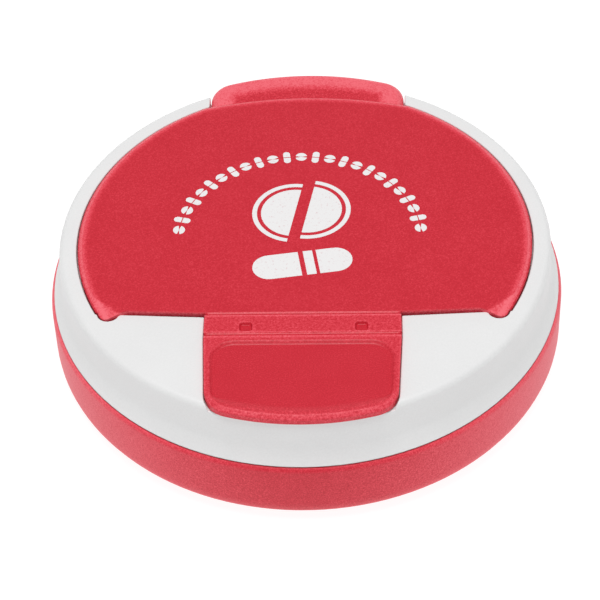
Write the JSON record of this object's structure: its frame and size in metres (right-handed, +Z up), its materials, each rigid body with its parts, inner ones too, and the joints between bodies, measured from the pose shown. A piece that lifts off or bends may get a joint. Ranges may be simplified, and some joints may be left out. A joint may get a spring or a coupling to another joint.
{
  "type": "pill splitter",
  "caption": "Round pocket pill splitter and pill box: flip-up storage lid, press flap with a steel blade over a V cradle, snap-fit two-part case.",
  "frame": {"origin": "centre of the underside, on the plane of the foot ring", "axes": "+Z up, -Y towards the press flap (front), +Y towards the lid's lift tab (back), +X to the right"},
  "size_m": [0.0754, 0.0754, 0.02],
  "materials": {
    "red_plastic": "fine spark-eroded texture, satin",
    "white_plastic": "satin",
    "blade_steel": "ground stainless steel"
  },
  "bodies": {
    "case": {"base_shell": "red_plastic", "storage_tray": "white_plastic", "pill_cradle": "white_plastic", "housing": "white_plastic", "hinge_strap": "red_plastic", "lid_hinge_web": "red_plastic", "flap_hinge_web": "red_plastic"},
    "lid": {"storage_lid": "red_plastic"},
    "flap": {"press_flap": "red_plastic", "blade_clamp": "white_plastic", "blade": "blade_steel"}
  },
  "joints": [
    {"name": "lid_hinge", "type": "hinge", "parent": "case", "child": "lid", "pos_m": [0, -0.0163, 0.01975], "axis": [1, 0, 0], "range_deg": [0, 95], "deforming": ["lid_hinge_web"]},
    {"name": "flap_hinge", "type": "hinge", "parent": "case", "child": "flap", "pos_m": [0, -0.0203, 0.01975], "axis": [-1, 0, 0], "range_deg": [0, 92], "deforming": ["flap_hinge_web"]}
  ]
}
